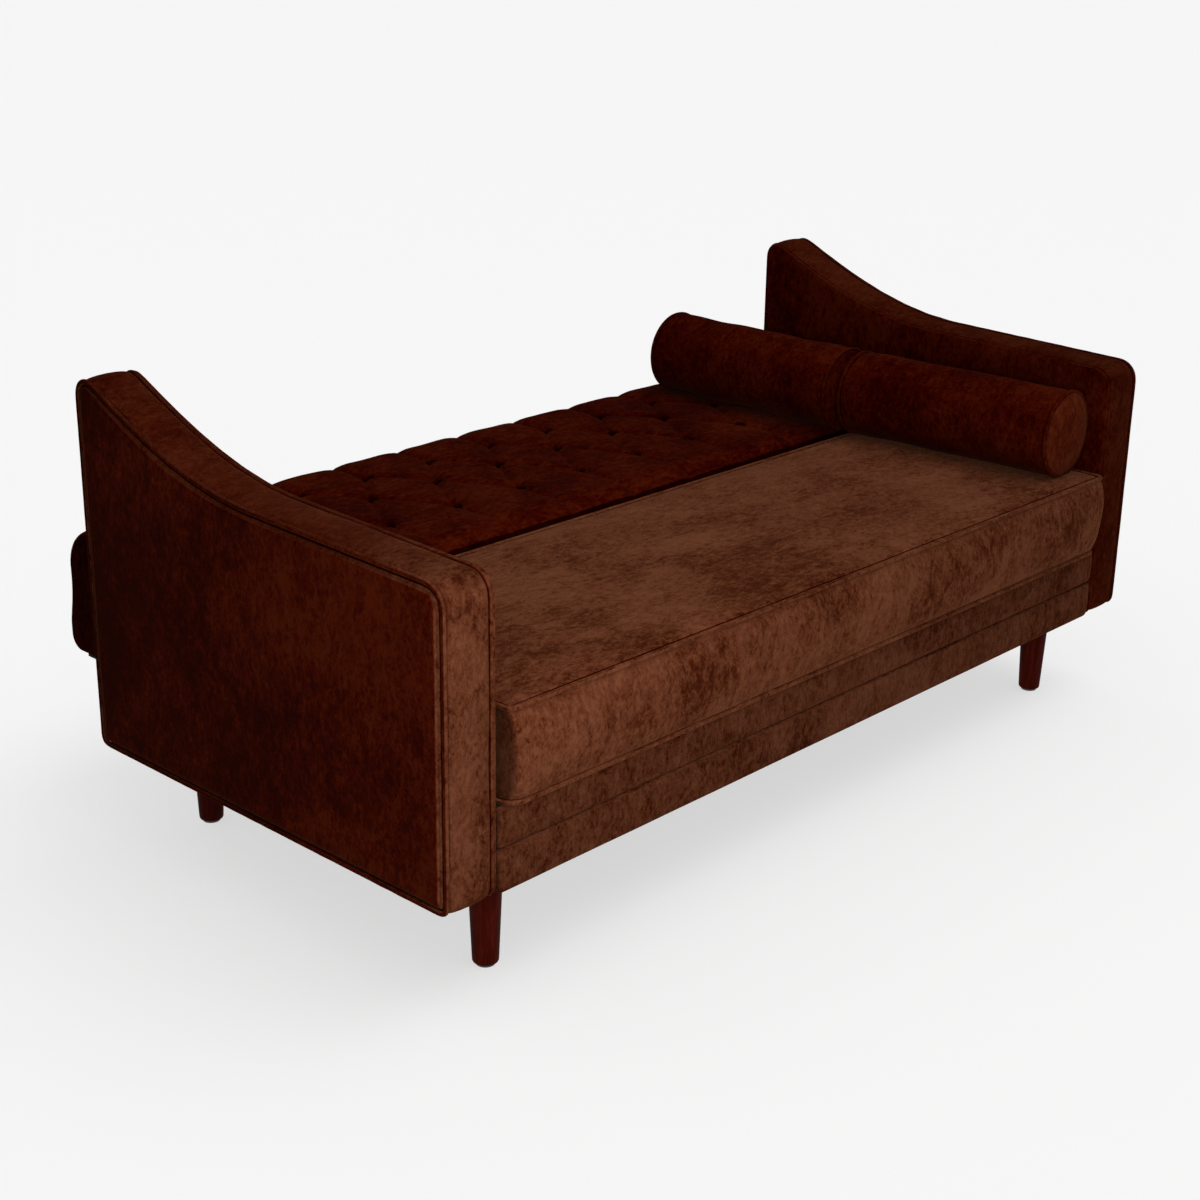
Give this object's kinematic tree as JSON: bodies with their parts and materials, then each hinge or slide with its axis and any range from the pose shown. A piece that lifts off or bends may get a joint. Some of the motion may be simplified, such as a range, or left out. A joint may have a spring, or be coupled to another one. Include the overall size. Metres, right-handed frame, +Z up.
{
  "type": "sofa bed",
  "caption": "Velvet three-seat sofa bed laid flat as a daybed: swooped piped arms, box seat cushion, tufted fold-down back, round bolsters and tapered wooden legs.",
  "frame": {"origin": "centre of the bounding box on the floor, with the back folded flat", "axes": "+X to the right along the bed, seen from the front; +Y from the seat's front edge to the folded back; +Z up"},
  "size_m": [2, 1.238, 0.872],
  "materials": {
    "velvet": "crushed velvet, dark brown, mottled nap",
    "timber": "raw sawn hardwood and plywood, hidden",
    "leg_wood": "turned wood, dark reddish-brown satin lacquer",
    "webbing": "woven elastic webbing, black",
    "lining": "non-woven lining, black",
    "hinge_steel": "pressed steel, black coat",
    "glide_plastic": "moulded, matt"
  },
  "bodies": {
    "base": {"arm_left_outer_cover": "velvet", "arm_left_frame": "timber", "arm_left_inner_cover": "velvet", "arm_left_boxing": "velvet", "arm_left_outer_piping": "velvet", "arm_left_inner_piping": "velvet", "arm_right_outer_cover": "velvet", "arm_right_frame": "timber", "arm_right_inner_cover": "velvet", "arm_right_boxing": "velvet", "arm_right_outer_piping": "velvet", "arm_right_inner_piping": "velvet", "base_front_rail": "timber", "base_rear_rail": "timber", "base_side_rail_left": "timber", "base_side_rail_right": "timber", "seat_rear_rail": "timber", "base_centre_beam": "timber", "front_band_lower": "velvet", "front_band_upper": "velvet", "seat_strap_1": "webbing", "seat_strap_2": "webbing", "seat_strap_3": "webbing", "seat_strap_4": "webbing", "leg_front_left": "leg_wood", "leg_front_right": "leg_wood", "leg_rear_left": "leg_wood", "leg_rear_right": "leg_wood", "glide_front_left": "glide_plastic", "glide_front_right": "glide_plastic", "glide_rear_left": "glide_plastic", "glide_rear_right": "glide_plastic", "leg_block_front_left": "timber", "leg_block_front_right": "timber", "leg_block_rear_left": "timber", "leg_block_rear_right": "timber", "dust_cover": "lining", "seat_cushion": "velvet", "seat_piping_top": "velvet", "seat_piping_bottom": "velvet", "hinge_left_base_plate": "hinge_steel", "hinge_left_pivot_bolt": "hinge_steel", "hinge_right_base_plate": "hinge_steel", "hinge_right_pivot_bolt": "hinge_steel"},
    "back": {"back_cushion": "velvet", "back_front_roll": "velvet", "back_rear_roll": "velvet", "back_front_board": "timber", "back_rear_board": "timber", "back_side_board_left": "timber", "back_side_board_right": "timber", "back_middle_board": "timber", "back_underside_panel": "lining", "back_strap_1": "webbing", "back_strap_2": "webbing", "hinge_left_back_plate": "hinge_steel", "hinge_right_back_plate": "hinge_steel"},
    "bolster_front": {"bolster_front": "velvet"},
    "bolster_rear": {"bolster_rear": "velvet"}
  },
  "joints": [
    {"name": "back_fold", "type": "hinge", "parent": "base", "child": "back", "pos_m": [0, 0.114, 0.4], "axis": [1, 0, 0], "range_deg": [0, 84]},
    {"name": "front_bolster_lift", "type": "slide", "parent": "base", "child": "bolster_front", "axis": [0, 0, 1], "range_m": [0, 0.4]},
    {"name": "rear_bolster_lift", "type": "slide", "parent": "base", "child": "bolster_rear", "axis": [0, 0, 1], "range_m": [0, 0.7]}
  ],
  "couplings": [
    {"joint": "rear_bolster_lift", "follows": "back_fold", "m_per_rad": 0.46}
  ]
}
